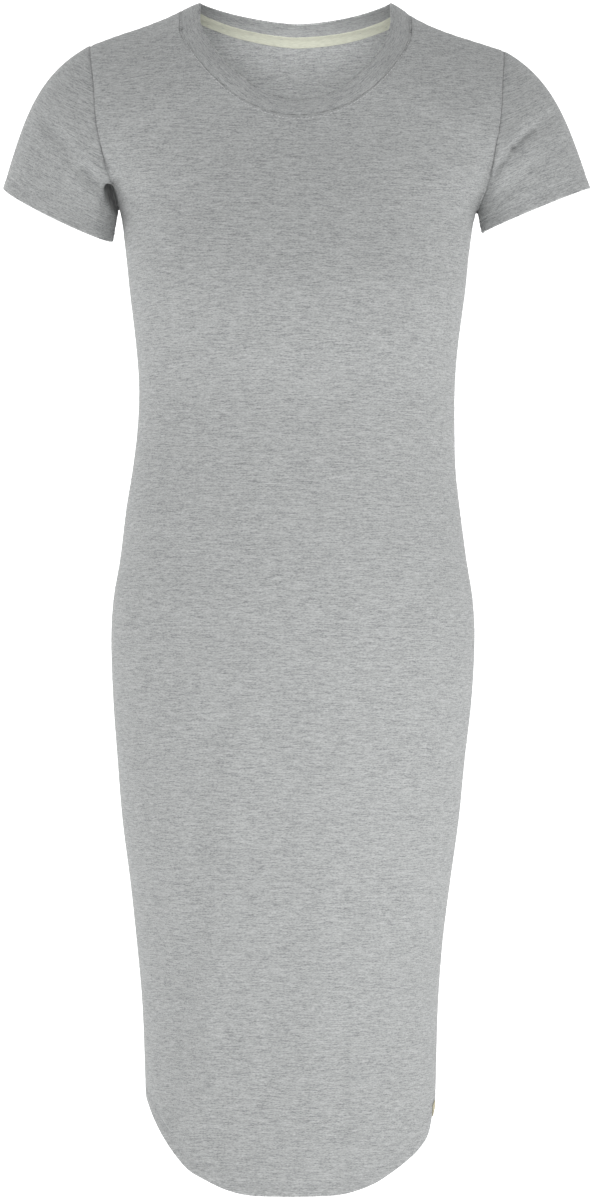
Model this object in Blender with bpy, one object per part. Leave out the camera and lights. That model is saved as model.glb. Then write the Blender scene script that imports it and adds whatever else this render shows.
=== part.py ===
"""A short-sleeved t-shirt dress in grey melange jersey, hollow, in the form it has when worn.

The script's unit is the metre, +Z is up, the front faces -Y and +X is the viewer's right.
The origin lies midway between the two high points of the neck opening, where shoulders hold it.
Sizes are written in millimetres and turned into metres as each mesh is made.
"""

import math
from bisect import bisect_right
from collections import namedtuple

import bmesh
import bpy
from mathutils import Vector

MM = 0.001

# Cloth and sewing
WALL = 1.6
HEM_WALL = 2.4
HEM_TURN = 11
BAND_WALL = 2.0
TRIM_WALL = 1.0
SEAM_GAP = 0.3

# Level ovals of the body, by their drop below the high shoulder points. Above the armpits an
# oval is wider than the cloth, because the armholes are cut out of its sides.
Section = namedtuple("Section", "drop half centre front back squareness")
SECTIONS = (
    Section(0, 278, 1.5, 66, 76, 2.4),
    Section(40, 256, 2.0, 70, 80, 2.4),
    Section(76, 231, 2.7, 76.5, 87, 2.4),
    Section(108, 213, 2.6, 84, 93, 2.4),
    Section(132, 199, 2.5, 90.5, 97.5, 2.4),
    Section(150, 186, 3.0, 96, 100, 2.4),
    Section(165, 174, 3.3, 100.5, 102, 2.4),
    Section(187, 160.8, 2.4, 106.5, 104, 2.4),
    Section(222, 154.8, 1.8, 114, 104.5, 2.4),
    Section(260, 150.8, 1.8, 118, 103, 2.4),
    Section(312, 144.4, 1.4, 113, 96, 2.35),
    Section(348, 142.0, 1.3, 105.5, 90, 2.3),
    Section(384, 142.6, 0.5, 103, 89, 2.3),
    Section(420, 145.2, -1.2, 104, 93.5, 2.3),
    Section(456, 150.0, -2.2, 106.5, 101, 2.3),
    Section(501, 155.7, -2.0, 109.5, 111, 2.3),
    Section(537, 161.5, -2.2, 111.5, 118, 2.3),
    Section(573, 163.4, -2.3, 112.5, 122, 2.3),
    Section(627, 161.1, -2.8, 113, 122.5, 2.3),
    Section(681, 156.1, -3.9, 113, 119, 2.3),
    Section(735, 151.2, -4.4, 112, 115, 2.3),
    Section(789, 144.0, -4.7, 111, 112, 2.3),
    Section(843, 137.7, -5.2, 109.5, 109, 2.3),
    Section(897, 133.2, -4.8, 108, 107, 2.3),
    Section(951, 131.2, -4.5, 107, 105.5, 2.3),
    Section(1061, 128.5, -4.2, 105, 104, 2.3),
)

# Drop of the shoulder line at a distance out from the middle. Inside the neck it is only a guide.
Shoulder = namedtuple("Shoulder", "out left right")
SHOULDERS = (
    Shoulder(0, -16, -16),
    Shoulder(50, -12.5, -12.5),
    Shoulder(85.5, 0, 0),
    Shoulder(103, 8, 11.5),
    Shoulder(120, 15.4, 20.4),
    Shoulder(140, 23, 28.2),
    Shoulder(160, 29.6, 34.6),
    Shoulder(187, 39.6, 43.2),
)
SHOULDER_ROLL = 85
SHOULDER_ROUNDNESS = 1.6

# Drop of the hem at a share of the way round from the middle of a panel to its side seam
Hem = namedtuple("Hem", "across left right")
HEM = (
    Hem(0.0, 1061, 1061),
    Hem(0.2, 1059.8, 1060),
    Hem(0.3, 1055.4, 1056.6),
    Hem(0.4, 1048.2, 1050.5),
    Hem(0.5, 1040, 1041.5),
    Hem(0.6, 1026, 1032.7),
    Hem(0.7, 1011, 1024),
    Hem(0.8, 996.5, 1013),
    Hem(0.86, 989, 998),
    Hem(0.92, 984, 991),
    Hem(1.0, 978, 989),
)

# Armholes and shoulder tips
Sides = namedtuple("Sides", "left right")
ARMPIT_DROP = Sides(184.9, 188.1)
TIP_OUT = Sides(184.5, 187.2)
ARMHOLE_DEPTH = 54
UNDERARM_ROLL = 61
# How far each armhole bulges outwards between the armpit and the shoulder tip: its size, and how
# it climbs from the armpit and falls towards the tip
Bulge = namedtuple("Bulge", "size climb fall")
ARMHOLE_BULGE = Sides(Bulge(2.8, 3, 5.3), Bulge(4.2, 1, 2.7))
BULGE_SPREAD = 3

# Neck: where the band is sewn on, and the open edge above it. The front's line drops upright from
# the shoulder before it rounds the throat.
Neck = namedtuple("Neck", "half front back")
NECK_SEAM = Neck(102.5, 110, 24.3)
NECK_EDGE = Neck(85.5, 95.5, 12.8)
NECK_UPRIGHT = 20
NECK_UPRIGHT_SHARE = 1 / 8
NECK_ROUNDNESS = Sides(1.3, 1.4)
NECK_LEAN = 2.5
BACK_NECK_POWER = Sides(1.4, 1.7)
BAND_CROWN = 0.6
BAND_CENTRE_DROP = 60
TAPE_WIDTH = 11.5

# Sleeves: the corners of the sleeve hem as seen from the front, its half depth from front to
# back, how far the front of that hem dips and its back rises, the directions in which the
# sleeve's top leaves the armhole and arrives at the hem, and how full its curves are.
# Directions go outwards, forwards and upwards.
Sleeve = namedtuple(
    "Sleeve",
    "name side outer_out outer_drop inner_out inner_drop depth dip rise leave_top arrive_top fullness",
)
SLEEVES = (
    Sleeve(
        "sleeve_left", -1, 263.3, 167.4, 163.8, 215.2, 45, 8, 8, (0.89, 0, -0.46), (0.3, 0, -0.95), 1.15
    ),
    Sleeve(
        "sleeve_right", 1, 265.5, 167.4, 167.2, 207.8, 45, 1, 8, (0.875, 0, -0.485), (0.34, 0, -0.94), 1.14
    ),
)
LEAVE_FRONT = (0.8, 0.1, -0.6)
LEAVE_BOTTOM = (0.12, 0, -1)
LEAVE_BACK = (0.8, -0.1, -0.6)
ARRIVE_BOTTOM = (0.15, 0, -0.99)
# At the armhole a sleeve's wall stands as the body's does where the two face alike: not at all
# below the first cosine, and wholly above the second
FACE_UNLIKE = 0.2
FACE_ALIKE = 0.8

# Largest folds, as soft troughs between two places seen from the front. A negative depth is a
# ridge. The hidden side's folds are guessed to be like those in view.
Fold = namedtuple("Fold", "x0 drop0 x1 drop1 width depth")
FRONT_FOLDS = (
    Fold(-84, 800, -86, 1000, 14, 2.2),
    Fold(-50, 840, -54, 1030, 15, -1.6),
    Fold(-4, 850, -2, 1035, 17, 2.0),
    Fold(33, 800, 34, 1020, 13, -1.6),
    Fold(53, 850, 52, 1030, 10, 2.0),
    Fold(-136, 160, -128, 196, 13, -2.5),
    Fold(150, 158, 146, 186, 11, -2.0),
)
BACK_FOLDS = (
    Fold(70, 790, 76, 1000, 15, 2.2),
    Fold(30, 850, 33, 1030, 14, -1.6),
    Fold(-22, 820, -26, 1040, 17, 2.2),
    Fold(-66, 860, -70, 1020, 13, -1.6),
    Fold(-40, 372, 44, 392, 12, 2.0),
    Fold(134, 162, 124, 200, 13, -2.2),
    Fold(-138, 162, -128, 198, 12, -2.2),
)
SLEEVE_FRONT_FOLDS = (
    Fold(-222, 112, -178, 166, 7, 2.5),
    Fold(-190, 154, -174, 172, 5, 2.0),
    Fold(228, 104, 186, 146, 7, 3.0),
    Fold(214, 150, 184, 176, 7, 1.8),
)
SLEEVE_BACK_FOLDS = (
    Fold(-224, 100, -180, 150, 8, 2.6),
    Fold(-214, 140, -178, 176, 7, 2.0),
    Fold(226, 108, 184, 152, 8, 2.6),
    Fold(216, 146, 182, 176, 7, 1.8),
)

# A sleeve's folds fade out this near to its top and underarm lines
SLEEVE_FOLD_FADE = 15

# Hem tab on the front, near the right side seam, between two shares of the way to that seam
TAB_FROM = 0.85
TAB_TO = 0.895
TAB_FOOT = 0.8
TAB_HEIGHT = 6.5

# How finely the solids are made
COLUMNS = 32
NECK_COLUMNS = COLUMNS // 2
HEM_ROWS = (0, HEM_TURN, HEM_TURN + 2)
DOUBLED_ROWS = 2
SKIRT_ROWS = 24
SKIRT_CROWDING = 1.4
CHEST_ROWS = 13
CHEST_LATENESS = 1.5
SLEEVE_ROWS = 8
BAND_ROWS = 3
TAPE_ROWS = 2
TAB_COLUMNS = 3

FRONT = -1
BACK = 1

# Base colours
JERSEY_GREY = (0.40, 0.41, 0.41)
TAPE_CREAM = (0.62, 0.64, 0.52)
TAB_CREAM = (0.60, 0.55, 0.38)


def blend(low, high, share):
    return low + (high - low) * share


def between_sides(sides, across):
    """A size that differs left and right, at a place from -1 at the left to 1 at the right."""
    return blend(sides.left, sides.right, (across + 1) / 2)


def smooth(table, column, at):
    """The value of a column on a smooth curve through the rows, which go by their first column."""
    places = [row[0] for row in table]
    values = [getattr(row, column) for row in table]
    last = len(table) - 1
    at = min(max(at, places[0]), places[last])
    low = min(bisect_right(places, at), last) - 1
    step = places[low + 1] - places[low]

    def slope(row):
        before, after = max(row - 1, 0), min(row + 1, last)
        return (values[after] - values[before]) / (places[after] - places[before])

    share = (at - places[low]) / step
    ease = share * share * (3 - 2 * share)
    start = share * (1 - share) ** 2 * step * slope(low)
    end = share * share * (1 - share) * step * slope(low + 1)
    return blend(values[low], values[low + 1], ease) + start - end


def quarter(share, squareness):
    """Height of a rounded quarter, 1 where share is 0 and 0 where share is 1."""
    return max(1 - min(share, 1) ** squareness, 0) ** (1 / squareness)


def section(drop):
    return Section(drop, *(smooth(SECTIONS, column, drop) for column in Section._fields[1:]))


def shoulder_drop(x):
    return smooth(SHOULDERS, "left" if x < 0 else "right", abs(x))


def hem_drop(across):
    return smooth(HEM, "left" if across < 0 else "right", abs(across))


def fold_depth(folds, x, z):
    """How deep the folds are at a place seen from the front."""
    deep = 0
    for fold in folds:
        start = Vector((fold.x0, -fold.drop0))
        along = Vector((fold.x1, -fold.drop1)) - start
        away = Vector((x, z)) - start
        share = min(max(away.dot(along) / along.dot(along), 0), 1)
        deep += fold.depth * math.exp(-(((away - along * share).length / fold.width) ** 2))
    return deep


def on_body(face, x, z):
    """The point of the front's or the back's outer side, at a place seen from the front."""
    oval = section(-z)
    deep = oval.front if face == FRONT else oval.back
    deep *= quarter(abs(x - oval.centre) / oval.half, oval.squareness)
    below_shoulder = max(-shoulder_drop(x) - z, 0) / SHOULDER_ROLL
    deep *= quarter(max(1 - below_shoulder, 0), SHOULDER_ROUNDNESS)
    side_share = min(deep / ARMHOLE_DEPTH, 1)
    folds = FRONT_FOLDS if face == FRONT else BACK_FOLDS
    deep -= side_share * fold_depth(folds, x, z)
    return Vector((x, face * (SEAM_GAP / 2 + deep), z))


def neck_place(face, neck, turn):
    """A place on a neck line seen from the front, turn going from -1 at the left to 1."""
    corner = math.copysign(neck.half, turn)
    rise = shoulder_drop(corner)
    if face == BACK:
        along = math.sin(turn * math.pi / 2)
        power = BACK_NECK_POWER.left if turn < 0 else BACK_NECK_POWER.right
        return neck.half * along, -rise - (neck.back - rise) * (1 - abs(along) ** power)
    upright = (abs(turn) - 1) / NECK_UPRIGHT_SHARE + 1
    if upright > 0:
        return corner, -rise - NECK_UPRIGHT * (1 - upright)
    roundness = NECK_ROUNDNESS.left if turn < 0 else NECK_ROUNDNESS.right
    angle = abs(turn) / (1 - NECK_UPRIGHT_SHARE) * math.pi / 2
    down = max(math.cos(angle), 0) ** (2 / roundness)
    return corner * math.sin(angle) + NECK_LEAN * down, -blend(rise + NECK_UPRIGHT, neck.front, down)


def top_place(face, across):
    """Where a column of a panel ends: on the neck line, or on the shoulder seam beside it."""
    neck_share = NECK_COLUMNS / COLUMNS
    if abs(across) <= neck_share:
        return neck_place(face, NECK_SEAM, across / neck_share)
    tip = TIP_OUT.left if across < 0 else TIP_OUT.right
    out = blend(NECK_SEAM.half, tip, (abs(across) - neck_share) / (1 - neck_share))
    x = math.copysign(out, across)
    return x, -shoulder_drop(x)


def armhole_angle(rise):
    """Angle round the oval at which the armhole cuts it, rise going from 0 at the armpit to 1."""
    armpit = between_sides(ARMPIT_DROP, 0)
    tip = (shoulder_drop(-TIP_OUT.left) + shoulder_drop(TIP_OUT.right)) / 2
    climb = rise * (armpit - tip) / UNDERARM_ROLL
    deep = ARMHOLE_DEPTH * quarter(max(1 - climb, 0), 2)
    oval = section(blend(armpit, tip, rise))
    return math.asin(quarter(deep / oval.front, oval.squareness))


def armhole_bulge(across, rise):
    """How far a place of the chest is moved outwards, so that the armhole bulges as it should."""
    bulge = ARMHOLE_BULGE.left if across < 0 else ARMHOLE_BULGE.right
    most = bulge.climb / (bulge.climb + bulge.fall)
    share = (rise / most) ** bulge.climb * ((1 - rise) / (1 - most)) ** bulge.fall
    return math.copysign(bulge.size * share * abs(across) ** BULGE_SPREAD, across)


def panel_rows(face):
    """Outer points of a panel, row by row from the hem to the shoulders."""
    places = [2 * column / COLUMNS - 1 for column in range(COLUMNS + 1)]
    levels = [(height, 0) for height in HEM_ROWS]
    levels += [(HEM_ROWS[-1], 1 - (1 - k / SKIRT_ROWS) ** SKIRT_CROWDING) for k in range(1, SKIRT_ROWS + 1)]
    rows = []
    for above_hem, share in levels:
        points = []
        for across in places:
            z = blend(above_hem - hem_drop(across), -between_sides(ARMPIT_DROP, across), share)
            oval = section(-z)
            x = oval.centre + oval.half * math.sin(across * math.pi / 2)
            points.append(on_body(face, x, z))
        rows.append(points)
    for row in range(1, CHEST_ROWS + 1):
        rise = (1 - math.cos(math.pi * row / CHEST_ROWS)) / 2
        angle = armhole_angle(rise)
        points = []
        for across in places:
            top_x, top_z = top_place(face, across)
            top_oval = section(-top_z)
            miss = top_x - top_oval.centre - top_oval.half * math.sin(across * armhole_angle(1))
            z = blend(-between_sides(ARMPIT_DROP, across), top_z, rise)
            oval = section(-z)
            x = oval.centre + oval.half * math.sin(across * angle) + miss * rise**CHEST_LATENESS
            points.append(on_body(face, x + armhole_bulge(across, rise), z))
        rows.append(points)
    return rows


def normals_of(rows, around, inside):
    """Outward normals of a grid of points, given a point inside it for each row."""
    normals = []
    last_row, last_column = len(rows) - 1, len(rows[0]) - 1
    for r, row in enumerate(rows):
        line = []
        for c, point in enumerate(row):
            if around:
                left, right = row[c - 1], row[(c + 1) % len(row)]
            else:
                left, right = row[max(c - 1, 0)], row[min(c + 1, last_column)]
            along = rows[min(r + 1, last_row)][c] - rows[max(r - 1, 0)][c]
            normal = (right - left).cross(along).normalized()
            line.append(normal if normal.dot(point - inside[r]) > 0 else -normal)
        normals.append(line)
    return normals


def across_seam(before, after, away):
    """The direction square to a seam in its own upright plane, on the side that away points to."""
    along = after - before
    normal = Vector((-along.z, 0, along.x)).normalized()
    return normal if normal.dot(away) > 0 else -normal


def panel(face):
    """Rows of a panel's points and normals. Along its seams the wall stands square to them."""
    rows = panel_rows(face)
    inside = [Vector((0, 0, min(point.z for point in row))) for row in rows]
    normals = normals_of(rows, False, inside)
    armpit_row = len(rows) - 1 - CHEST_ROWS
    for side, column in ((-1, 0), (1, COLUMNS)):
        for row in range(armpit_row + 1):
            low, high = rows[max(row - 1, 0)][column], rows[min(row + 1, armpit_row)][column]
            normals[row][column] = across_seam(low, high, Vector((side, 0, 0)))
    neck_first = (COLUMNS - NECK_COLUMNS) // 2
    for first, last in ((0, neck_first), (neck_first + NECK_COLUMNS, COLUMNS)):
        for column in range(first, last + 1):
            low, high = rows[-1][max(column - 1, first)], rows[-1][min(column + 1, last)]
            normals[-1][column] = across_seam(low, high, Vector((0, 0, 1)))
    return rows, normals


def walls(rows, normals, thickness):
    """The inner points of a wall, given its thickness row by row."""
    return [
        [point - normal * thick for point, normal in zip(row, row_normals)]
        for row, row_normals, thick in zip(rows, normals, thickness)
    ]


def cloth(name, outer, inner, around, material, collection):
    """A closed wall between a grid of outer points and a grid of inner points."""
    build = bmesh.new()
    grids = [[[build.verts.new(p * MM) for p in row] for row in side] for side in (outer, inner)]
    columns = len(outer[0])
    steps = [(c, (c + 1) % columns) for c in range(columns if around else columns - 1)]
    for grid in grids:
        for low, high in zip(grid, grid[1:]):
            for a, b in steps:
                build.faces.new((low[a], low[b], high[b], high[a]))
    outside, within = grids
    for row in (0, -1):
        for a, b in steps:
            build.faces.new((outside[row][a], outside[row][b], within[row][b], within[row][a]))
    for column in () if around else (0, -1):
        rim = [(out[column], back[column]) for out, back in zip(outside, within)]
        for low, high in zip(rim, rim[1:]):
            build.faces.new((*low, *high[::-1]))
    bmesh.ops.recalc_face_normals(build, faces=build.faces)
    mesh = bpy.data.meshes.new(name)
    build.to_mesh(mesh)
    build.free()
    mesh.shade_smooth()
    mesh.set_sharp_from_angle(angle=math.radians(40))
    mesh.materials.append(material)
    piece = bpy.data.objects.new(name, mesh)
    collection.objects.link(piece)
    return piece


def hemmed(rows):
    """Thickness of each row: thicker in the first rows, where the hem is turned up."""
    return [HEM_WALL if row < DOUBLED_ROWS else WALL for row in range(len(rows))]


def lifted(panel_grid, row, column, out):
    """A point on a panel's facets, between its rows and columns, moved outwards."""
    rows, normals = panel_grid
    r = min(int(row), len(rows) - 2)
    c = min(int(column), COLUMNS - 1)

    def mix(grid):
        low = grid[r][c].lerp(grid[r][c + 1], column - c)
        high = grid[r + 1][c].lerp(grid[r + 1][c + 1], column - c)
        return low.lerp(high, row - r)

    return mix(rows) + mix(normals).normalized() * out


def row_below(rows, column, distance):
    """The row, as a fraction, at a distance down a column from its top."""
    for row in range(len(rows) - 1, 0, -1):
        length = (rows[row][column] - rows[row - 1][column]).length
        if distance <= length:
            return row - distance / length
        distance -= length
    return 0


def armhole_loop(sleeve, front, back):
    """Points and normals round an armhole, down the front from the shoulder and up the back."""
    column = 0 if sleeve.side < 0 else COLUMNS
    top = len(front[0]) - 1
    armpit = top - CHEST_ROWS
    order = [(front, row) for row in range(top, armpit, -1)]
    order += [(back, row) for row in range(armpit, top)]
    points = [rows[row][column].copy() for (rows, _), row in order]
    points[0].y = points[CHEST_ROWS].y = 0
    return points, [normals[row][column] for (_, normals), row in order]


def sleeve_line(sleeve, turn, seam, body_normal):
    """Both ends of the curve down a sleeve at an angle round it, and how hard each end pulls it."""

    def aim(direction):
        out, forward, up = direction
        return Vector((sleeve.side * out, -forward, up)).normalized()

    outer = Vector((sleeve.side * sleeve.outer_out, 0, -sleeve.outer_drop))
    inner = Vector((sleeve.side * sleeve.inner_out, 0, -sleeve.inner_drop))
    cosine, sine = math.cos(turn), math.sin(turn)
    to_front = Vector((0, -sleeve.depth, -sleeve.dip if sine > 0 else -sleeve.rise))
    end = (outer + inner) / 2 + (outer - inner) / 2 * cosine + to_front * sine
    shares = [max(share, 0) ** 2 for share in (cosine, sine, -cosine, -sine)]
    ways = (sleeve.leave_top, LEAVE_FRONT, LEAVE_BOTTOM, LEAVE_BACK)
    leave = sum((aim(way) * share for way, share in zip(ways, shares)), Vector()).normalized()
    arrive = aim(ARRIVE_BOTTOM).lerp(aim(sleeve.arrive_top), (1 + cosine) / 2).normalized()
    begin = seam + leave.lerp(body_normal, max(-cosine, 0)).normalized() * SEAM_GAP
    pull = sleeve.fullness * (end - begin).length
    return begin, leave * pull, end, arrive * pull


def sleeve_rings(sleeve, front, back):
    """Rings of a sleeve's outer points and normals, from its hem to the armhole."""
    seam, body_normals = armhole_loop(sleeve, front, back)
    count = len(seam)
    lines = [sleeve_line(sleeve, 2 * math.pi * j / count, seam[j], body_normals[j]) for j in range(count)]
    rows = []
    for k in range(len(HEM_ROWS) + SLEEVE_ROWS):
        ring = []
        for begin, leave, end, arrive in lines:
            length = (end - begin).length
            share = 1 - HEM_ROWS[min(k, len(HEM_ROWS) - 1)] / length
            share *= 1 - max(k - len(HEM_ROWS) + 1, 0) / SLEEVE_ROWS
            curve = begin.lerp(end, share * share * (3 - 2 * share))
            curve += leave * share * (1 - share) ** 2 - arrive * share * share * (1 - share)
            ring.append(curve)
        rows.append(ring)

    inside = [sum(row, Vector()) / count for row in rows]
    for row, middle in zip(rows, inside):
        for point in row:
            folds = SLEEVE_FRONT_FOLDS if point.y < 0 else SLEEVE_BACK_FOLDS
            fade = min(abs(point.y) / SLEEVE_FOLD_FADE, 1)
            point += (middle - point).normalized() * fold_depth(folds, point.x, point.z) * fade
    normals = normals_of(rows, True, inside)
    for j, (own, body) in enumerate(zip(normals[-1], body_normals)):
        share = (own.dot(body) - FACE_UNLIKE) / (FACE_ALIKE - FACE_UNLIKE)
        normals[-1][j] = own.lerp(body, min(max(share, 0), 1)).normalized()
    return rows, normals


def band_rings(front, back):
    """Rings of the neckband's outer points and normals, from its seam to the open edge."""
    first = (COLUMNS - NECK_COLUMNS) // 2
    order = [(front, FRONT, c) for c in range(NECK_COLUMNS)]
    order += [(back, BACK, c) for c in range(NECK_COLUMNS, 0, -1)]
    seam, edge, seam_normals = [], [], []
    for (rows, normals), face, c in order:
        point = rows[-1][first + c].copy()
        x, z = neck_place(face, NECK_EDGE, 2 * c / NECK_COLUMNS - 1)
        over = on_body(face, x, z)
        if c in (0, NECK_COLUMNS):
            point.y = over.y = 0
        seam.append(point + (over - point).normalized() * SEAM_GAP)
        edge.append(over)
        seam_normals.append(normals[-1][first + c])
    rows = [[a.lerp(b, k / BAND_ROWS) for a, b in zip(seam, edge)] for k in range(BAND_ROWS + 1)]
    inside = [Vector((0, 0, row[0].z - BAND_CENTRE_DROP)) for row in rows]
    normals = normals_of(rows, True, inside)
    normals[0] = seam_normals
    for k in range(1, BAND_ROWS):
        for point, normal in zip(rows[k], normals[k]):
            point += normal * BAND_CROWN
    return rows, normals


def tape_rows(back):
    """Outer points and normals of the tape, on the inner side of the back below the neck seam."""
    first = (COLUMNS - NECK_COLUMNS) // 2
    rows, normals = [], []
    for k in range(TAPE_ROWS + 1):
        distance = blend(TAPE_WIDTH, SEAM_GAP, k / TAPE_ROWS)
        points, out = [], []
        for column in range(first, first + NECK_COLUMNS + 1):
            row = row_below(back[0], column, distance)
            points.append(lifted(back, row, column, -WALL - SEAM_GAP))
            out.append(lifted(back, row, column, 1) - lifted(back, row, column, 0))
        rows.append(points)
        normals.append(out)
    return rows, normals


def tab_rows(front):
    """Outer points and normals of the tab, on the outer side of the front above the hem."""
    rows, normals = [], []
    for height in (TAB_FOOT, TAB_HEIGHT / 2, TAB_HEIGHT):
        points, out = [], []
        for k in range(TAB_COLUMNS + 1):
            column = (blend(TAB_FROM, TAB_TO, k / TAB_COLUMNS) + 1) * COLUMNS / 2
            row = height / HEM_TURN
            points.append(lifted(front, row, column, SEAM_GAP + TRIM_WALL))
            out.append(lifted(front, row, column, 1) - lifted(front, row, column, 0))
        rows.append(points)
        normals.append(out)
    return rows, normals


def cloth_material(name, colour, roughness):
    material = bpy.data.materials.new(name)
    material.use_nodes = True
    shader = material.node_tree.nodes["Principled BSDF"]
    shader.inputs["Base Color"].default_value = (*colour, 1)
    shader.inputs["Roughness"].default_value = roughness
    shader.inputs["Metallic"].default_value = 0
    return material


def main():
    for thing in list(bpy.data.objects):
        bpy.data.objects.remove(thing, do_unlink=True)
    collection = bpy.data.collections.new("t_shirt_dress")
    bpy.context.scene.collection.children.link(collection)

    jersey = cloth_material("grey_melange_jersey", JERSEY_GREY, 0.9)
    tape_cloth = cloth_material("cream_tape", TAPE_CREAM, 0.8)
    tab_cloth = cloth_material("cream_tab", TAB_CREAM, 0.8)

    front, back = panel(FRONT), panel(BACK)
    for name, (rows, normals) in (("front_panel", front), ("back_panel", back)):
        cloth(name, rows, walls(rows, normals, hemmed(rows)), False, jersey, collection)
    for sleeve in SLEEVES:
        rows, normals = sleeve_rings(sleeve, front, back)
        cloth(sleeve.name, rows, walls(rows, normals, hemmed(rows)), True, jersey, collection)
    rows, normals = band_rings(front, back)
    cloth("neckband", rows, walls(rows, normals, [BAND_WALL] * len(rows)), True, jersey, collection)
    rows, normals = tape_rows(back)
    cloth("neck_tape", rows, walls(rows, normals, [TRIM_WALL] * len(rows)), False, tape_cloth, collection)
    rows, normals = tab_rows(front)
    cloth("hem_tab", rows, walls(rows, normals, [TRIM_WALL] * len(rows)), False, tab_cloth, collection)


main()
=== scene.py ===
"""The t-shirt dress as it looks: thin grey melange jersey, sewn together as the real one is.

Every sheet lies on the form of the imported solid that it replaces, so the tables of the body, the
neck and the sleeves are those of the solids' source. The folds are the cloth's own, the largest
ones close to those of the solids. Sizes are in millimetres and turned into metres as each mesh is
made. +Z is up, the front faces -Y and +X is the viewer's right.
"""

import math
from collections import namedtuple

import bpy
import numpy as np
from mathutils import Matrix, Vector


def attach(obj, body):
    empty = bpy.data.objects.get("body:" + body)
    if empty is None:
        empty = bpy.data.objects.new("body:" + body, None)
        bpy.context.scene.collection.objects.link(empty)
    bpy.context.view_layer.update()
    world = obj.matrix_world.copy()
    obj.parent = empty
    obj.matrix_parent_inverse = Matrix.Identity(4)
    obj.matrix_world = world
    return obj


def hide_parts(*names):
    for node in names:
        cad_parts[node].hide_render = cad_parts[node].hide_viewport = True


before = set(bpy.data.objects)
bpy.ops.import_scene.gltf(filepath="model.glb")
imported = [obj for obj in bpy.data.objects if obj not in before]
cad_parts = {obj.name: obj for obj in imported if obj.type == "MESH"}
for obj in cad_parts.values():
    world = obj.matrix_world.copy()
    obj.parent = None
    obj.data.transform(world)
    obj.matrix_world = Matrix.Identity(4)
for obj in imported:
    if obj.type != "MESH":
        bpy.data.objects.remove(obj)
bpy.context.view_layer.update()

MM = 0.001
FRONT = -1
BACK = 1

# The solids' tables: level ovals of the body by their drop below the high shoulder points
Section = namedtuple("Section", "drop half centre front back squareness")
SECTIONS = (
    (0, 278, 1.5, 66, 76, 2.4),
    (40, 256, 2.0, 70, 80, 2.4),
    (76, 231, 2.7, 76.5, 87, 2.4),
    (108, 213, 2.6, 84, 93, 2.4),
    (132, 199, 2.5, 90.5, 97.5, 2.4),
    (150, 186, 3.0, 96, 100, 2.4),
    (165, 174, 3.3, 100.5, 102, 2.4),
    (187, 160.8, 2.4, 106.5, 104, 2.4),
    (222, 154.8, 1.8, 114, 104.5, 2.4),
    (260, 150.8, 1.8, 118, 103, 2.4),
    (312, 144.4, 1.4, 113, 96, 2.35),
    (348, 142.0, 1.3, 105.5, 90, 2.3),
    (384, 142.6, 0.5, 103, 89, 2.3),
    (420, 145.2, -1.2, 104, 93.5, 2.3),
    (456, 150.0, -2.2, 106.5, 101, 2.3),
    (501, 155.7, -2.0, 109.5, 111, 2.3),
    (537, 161.5, -2.2, 111.5, 118, 2.3),
    (573, 163.4, -2.3, 112.5, 122, 2.3),
    (627, 161.1, -2.8, 113, 122.5, 2.3),
    (681, 156.1, -3.9, 113, 119, 2.3),
    (735, 151.2, -4.4, 112, 115, 2.3),
    (789, 144.0, -4.7, 111, 112, 2.3),
    (843, 137.7, -5.2, 109.5, 109, 2.3),
    (897, 133.2, -4.8, 108, 107, 2.3),
    (951, 131.2, -4.5, 107, 105.5, 2.3),
    (1061, 128.5, -4.2, 105, 104, 2.3),
)
# Drop of the shoulder line, left and right, at a distance out from the middle
SHOULDERS = (
    (0, -16, -16),
    (50, -12.5, -12.5),
    (85.5, 0, 0),
    (103, 8, 11.5),
    (120, 15.4, 20.4),
    (140, 23, 28.2),
    (160, 29.6, 34.6),
    (187, 39.6, 43.2),
)
# Drop of the hem, left and right, at a share of the way from a panel's middle to its side seam
HEM = (
    (0.0, 1061, 1061),
    (0.2, 1059.8, 1060),
    (0.3, 1055.4, 1056.6),
    (0.4, 1048.2, 1050.5),
    (0.5, 1040, 1041.5),
    (0.6, 1026, 1032.7),
    (0.7, 1011, 1024),
    (0.8, 996.5, 1013),
    (0.86, 989, 998),
    (0.92, 984, 991),
    (1.0, 978, 989),
)
LEFT_COLUMN, RIGHT_COLUMN = 1, 2
SHOULDER_ROLL = 85
SHOULDER_ROUNDNESS = 1.6

# Armholes and shoulder tips
Sides = namedtuple("Sides", "left right")
ARMPIT_DROP = Sides(184.9, 188.1)
TIP_OUT = Sides(184.5, 187.2)
ARMHOLE_DEPTH = 54
UNDERARM_ROLL = 61
# How far each armhole bulges outwards, and how it climbs from the armpit and falls to the tip
Bulge = namedtuple("Bulge", "size climb fall")
ARMHOLE_BULGE = Sides(Bulge(2.8, 3, 5.3), Bulge(4.2, 1, 2.7))
BULGE_SPREAD = 3
CHEST_LATENESS = 1.5

# Neck: where the band is sewn on, and the open edge above it
Neck = namedtuple("Neck", "half front back")
NECK_SEAM = Neck(102.5, 110, 24.3)
NECK_EDGE = Neck(85.5, 95.5, 12.8)
NECK_UPRIGHT = 20
NECK_UPRIGHT_SHARE = 1 / 8
NECK_ROUNDNESS = Sides(1.3, 1.4)
NECK_LEAN = 2.5
BACK_NECK_POWER = Sides(1.4, 1.7)
NECK_SHARE = 0.5
NECK_CENTRE = np.array((0, 0, 40))
BAND_CROWN = 0.6
BAND_CENTRE_DROP = 60

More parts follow.
